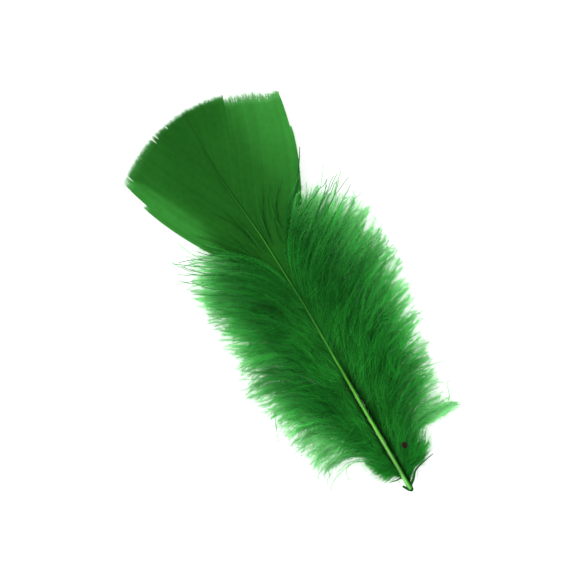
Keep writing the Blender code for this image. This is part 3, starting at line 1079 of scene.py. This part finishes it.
def add_barb(fibres, barb, column, total, draw, share):
    """One barb of down: a thin ribbon with barbules leaning off it all the way along."""
    line = barb["line"]
    side = barb["side"]
    t = np.linspace(0, 1, len(line))
    ahead, sideways, _ = directions(line)
    half = (BARB_HALF_WIDTH * barb["width"] * MM * (1 - barb["taper"] * t))[:, None]
    u_middle = (column + 0.5) / total
    u_half = DOWN_COLUMN / total
    rows = np.stack([line - sideways * half, line + sideways * half], axis=1)
    rows = clear_of_shaft(rows.reshape(-1, 3), side).reshape(rows.shape)
    fibres.add(
        rows,
        ribbon_faces(len(line), 2),
        map_grid(u_middle + u_half * np.array([-0.15, 0.15]), MAP_FROM + MAP_LENGTH * t),
        along=np.repeat(barb["pale"] + barb["reach"] * t, 2),
        tone=barb["tone"],
        out=0.0,
        shade=shade_at(rows.reshape(-1, 3), side),
    )
    coarse = barb["coarse"]
    count = int(barb["length"] * BARBULES_A_MM * share / coarse)
    if count < 8:
        return
    s = np.clip(((np.arange(count) + draw.random(count)) / count) ** OUTWARD * 0.985 + 0.01, 0, 1)
    base = at(line, s)
    tangent = unit(at(ahead, s))
    sideways = level_side(tangent)
    up = np.cross(sideways, tangent)
    row = np.where(np.arange(count) % 2, 1.0, -1.0)
    roll = draw.normal(0, 0.55, count)
    lean = np.radians(BARBULE_LEAN + draw.normal(0, 15, count))
    outward = sideways * (row * np.cos(roll))[:, None] + up * np.sin(roll)[:, None]
    way = tangent * np.cos(lean)[:, None] + outward * np.sin(lean)[:, None]
    fullness = np.minimum(1.0, 0.3 + s * 2.6) * np.clip((1.06 - s) * 3.2, barb["blunt"], 1.0)
    fullness = fullness * (0.55 + 0.45 * eased((s * barb["reach"] - 0.5) / 0.3))
    size = BARBULE_LENGTH * barb["fluff"] * fullness * draw.uniform(0.55, 1.15, count)
    tip = clear_of_shaft(base + way * (size * MM)[:, None], side)
    wide = tangent * (BARBULE_WIDTH / 2 * coarse * MM)
    corners = np.stack([base - wide, base + wide, tip], axis=1)
    v = MAP_FROM + MAP_LENGTH * s
    v_step = 0.6 / count
    middle = np.full(count, u_middle)
    across_map = np.stack([middle, middle, u_middle + u_half * row], axis=-1)
    along_map = np.stack([v - v_step, v + v_step, v], axis=-1)
    fibres.add(
        corners,
        np.arange(3 * count).reshape(-1, 3),
        np.stack([across_map, along_map], axis=-1),
        along=np.repeat(barb["pale"] + barb["reach"] * s, 3),
        tone=barb["tone"],
        out=np.tile([0.0, 0.0, 1.0], count),
        shade=shade_at(corners.reshape(-1, 3), side),
    )


def keep_in_box(fibres):
    """Presses the lowest and highest fibres flat at the surface and at the feather's full height."""
    for points in fibres.points:
        points[:, 2] = np.clip(points[:, 2], FLOOR_GAP * MM, cad_box[1][2] - TOP_GAP * MM)


def make_down(material):
    """The down on both sides, in pieces up the shaft."""
    draw = np.random.default_rng(DOWN_SEED)
    share = 1.0
    barbs = down_barbs(draw) + under_barbs(draw) + root_fluff(draw)
    barbs += spike_barbs(draw) + stroke_barbs(draw) + veil_barbs(draw)
    made = []
    for side, side_name in ((LEFT, "left"), (RIGHT, "right")):
        for part_name, part_from, part_to in DOWN_PARTS:
            group = [b for b in barbs if b["side"] == side and part_from <= b["f"] < part_to]
            fibres = Fibres(("along", "tone", "out", "shade"))
            for column, barb in enumerate(group):
                add_barb(fibres, barb, column, len(group), draw, share)
            keep_in_box(fibres)
            made.append(fibres.piece(f"down_{side_name}_{part_name}", material))
    return made


def start_shape():
    """Leaves nothing selected, so that what is made next is all that operators act on."""
    if bpy.context.object and bpy.context.object.mode == "EDIT":
        bpy.ops.object.mode_set(mode="OBJECT")
    bpy.ops.object.select_all(action="DESELECT")


def pick(thing):
    """Selects one piece alone."""
    start_shape()
    thing.select_set(True)
    bpy.context.view_layer.objects.active = thing


def settle(thing):
    """Puts a piece's place in its mesh, with its object at the origin."""
    pick(thing)
    bpy.ops.object.transform_apply(location=True, rotation=True, scale=True)


def make_shaft(material):
    """The shaft, drawn out ring by ring from the quill end, with a hollow where it was torn off."""
    start_shape()
    stops = np.linspace(0, SHAFT_LENGTH, SHAFT_STOPS)
    centres = [Vector(place(shaft_sway(s), s, shaft_height(s))) for s in stops]
    bpy.ops.mesh.primitive_circle_add(
        vertices=SHAFT_SIDES,
        radius=shaft_radius(0) * MM,
        fill_type="NGON",
        location=centres[0],
        rotation=(math.pi / 2, 0, 0),
    )
    shaft = bpy.context.object
    shaft.name = "shaft"
    settle(shaft)
    bpy.ops.object.mode_set(mode="EDIT")
    bpy.ops.mesh.select_all(action="SELECT")
    for near, far, s_near, s_far in zip(centres, centres[1:], stops, stops[1:]):
        bpy.ops.mesh.extrude_region_move(TRANSFORM_OT_translate={"value": far - near})
        shrink = shaft_radius(s_far) / shaft_radius(s_near)
        bpy.ops.transform.resize(value=(shrink, 1, shrink), center_override=far)
    bpy.ops.mesh.select_all(action="DESELECT")
    bpy.ops.object.mode_set(mode="OBJECT")
    mesh = shaft.data
    for face in mesh.polygons:
        face.select = face.center.y < centres[0].y + 0.01 * MM
    bpy.ops.object.mode_set(mode="EDIT")
    bpy.ops.mesh.select_mode(type="FACE")
    bpy.ops.mesh.inset(thickness=HOLLOW_RIM * MM)
    bpy.ops.mesh.extrude_region_move(TRANSFORM_OT_translate={"value": (0, HOLLOW_DEPTH * MM, 0)})
    bpy.ops.mesh.select_all(action="SELECT")
    bpy.ops.mesh.normals_make_consistent(inside=False)
    bpy.ops.object.mode_set(mode="OBJECT")
    pick(shaft)
    bpy.ops.object.shade_smooth_by_angle(angle=math.radians(SHARP_ANGLE))
    # The flank value paints shade on the shaft's right side, rising across the shaft towards its right edge.
    flank = shaft.data.attributes.new("flank", "FLOAT", "POINT")
    for vertex, value in zip(shaft.data.vertices, flank.data):
        along = vertex.co.y / MM - QUILL_Y
        aside = (vertex.co.x / MM - QUILL_X - shaft_sway(along)) / shaft_radius(along)
        value.value = float(eased(aside / 0.5 + 0.2))
    shaft.data.materials.append(material)
    return shaft


def make_strand(name, radius, taper, places, material):
    """A thin tapering strand through a few points, smooth and round, with closed ends."""
    t = np.linspace(0, 1, STRAND_STEPS)
    across, along, over = smooth_through(places, t)
    line = place(across, along, shaft_height(np.maximum(along, 0)) + over)
    _, sideways, up = directions(line)
    angles = np.linspace(0, math.tau, STRAND_SIDES + 1)[:, None]
    size = (radius * MM * (1 - taper * t**1.3))[:, None, None]
    rings = line[:, None] + size * (sideways[:, None] * np.cos(angles) + up[:, None] * np.sin(angles))
    poles = [np.broadcast_to(end, (1, STRAND_SIDES + 1, 3)) for end in (line[0], line[-1])]
    rings = np.concatenate([poles[0], rings, poles[1]])
    fibres = Fibres(())
    u = np.linspace(0.05, 0.95, STRAND_SIDES + 1)
    v = np.concatenate([[0.03], 0.05 + 0.9 * t, [0.97]])
    fibres.add(rings, ribbon_faces(len(rings), STRAND_SIDES + 1), map_grid(u, v))
    strand = fibres.piece(name, material)
    pick(strand)
    bpy.ops.object.mode_set(mode="EDIT")
    bpy.ops.mesh.select_all(action="SELECT")
    bpy.ops.mesh.remove_doubles(threshold=0.001 * MM)
    bpy.ops.mesh.normals_make_consistent(inside=False)
    bpy.ops.object.mode_set(mode="OBJECT")
    bpy.ops.object.shade_smooth_by_angle(angle=math.radians(SHARP_ANGLE))
    return strand


def make_speck(material):
    """A small dry speck caught in the down, lumpy and flattened."""
    start_shape()
    centre = Vector(place(*SPECK_PLACE))
    bpy.ops.mesh.primitive_ico_sphere_add(subdivisions=3, radius=MM, location=centre)
    speck = bpy.context.object
    speck.name = "speck"
    bpy.ops.transform.resize(value=SPECK_SIZE)
    settle(speck)
    bpy.ops.object.mode_set(mode="EDIT")
    bpy.ops.mesh.select_all(action="SELECT")
    bpy.ops.transform.vertex_random(offset=0.09 * MM, seed=3)
    bpy.ops.mesh.vertices_smooth(factor=0.4, repeat=1)
    bpy.ops.object.mode_set(mode="OBJECT")
    bpy.ops.object.shade_smooth()
    speck.data.materials.append(material)
    return speck


def make_floor():
    start_shape()
    bpy.ops.mesh.primitive_plane_add(size=FLOOR_SIZE, location=(0, 0, 0))
    floor = bpy.context.object
    floor.name = "floor"
    floor.data.materials.append(floor_finish())


def light_scene():
    """Even white light from all round, and one large soft lamp from the left of the shaft."""
    scene = bpy.context.scene
    scene.view_settings.view_transform = "Standard"
    scene.view_settings.look = "None"
    world = bpy.data.worlds.new("studio")
    world.use_nodes = True
    background = world.node_tree.nodes["Background"]
    background.inputs["Color"].default_value = (1, 1, 1, 1)
    background.inputs["Strength"].default_value = SKY_STRENGTH
    scene.world = world
    lamp = bpy.data.lights.new("soft_lamp", "AREA")
    lamp.shape = "DISK"
    lamp.size = LAMP_SIZE
    lamp.energy = LAMP_POWER
    thing = bpy.data.objects.new("soft_lamp", lamp)
    thing.location = LAMP_PLACE
    aim = Vector((0, 0, 0)) - thing.location
    thing.rotation_euler = aim.to_track_quat("-Z", "Y").to_euler()
    scene.collection.objects.link(thing)


def place_camera():
    """Looks straight down, with the feather leaning to the left as it lies in the picture."""
    target = place(PICTURE_ACROSS, PICTURE_ALONG, SHAFT_HEIGHT)
    camera = bpy.data.cameras.new("camera")
    camera.sensor_width = SENSOR
    camera.lens = SENSOR * CAMERA_DISTANCE / (PICTURE_SPAN * MM)
    camera.clip_start = 0.01
    camera.clip_end = 20
    thing = bpy.data.objects.new("camera", camera)
    thing.location = (target[0], target[1], target[2] + CAMERA_DISTANCE)
    thing.rotation_euler = (0, 0, math.radians(PICTURE_TURN))
    bpy.context.scene.collection.objects.link(thing)
    bpy.context.scene.camera = thing


def main():
    light_scene()
    place_camera()
    make_floor()
    horn = shaft_finish()
    dark = dark_barb_finish()
    pieces = [(make_shaft(horn), "shaft")]
    for name, slot, radius, taper, places in STRANDS:
        pieces.append((make_strand(name, radius, taper, places, dark), slot))
    pieces.append((make_vane(vane_finish()), "vane"))
    pieces += [(thing, "down") for thing in make_down(down_finish())]
    pieces.append((make_speck(speck_finish()), "speck"))
    for thing, slot in pieces:
        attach(thing, "root")
        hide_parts("feather")


main()
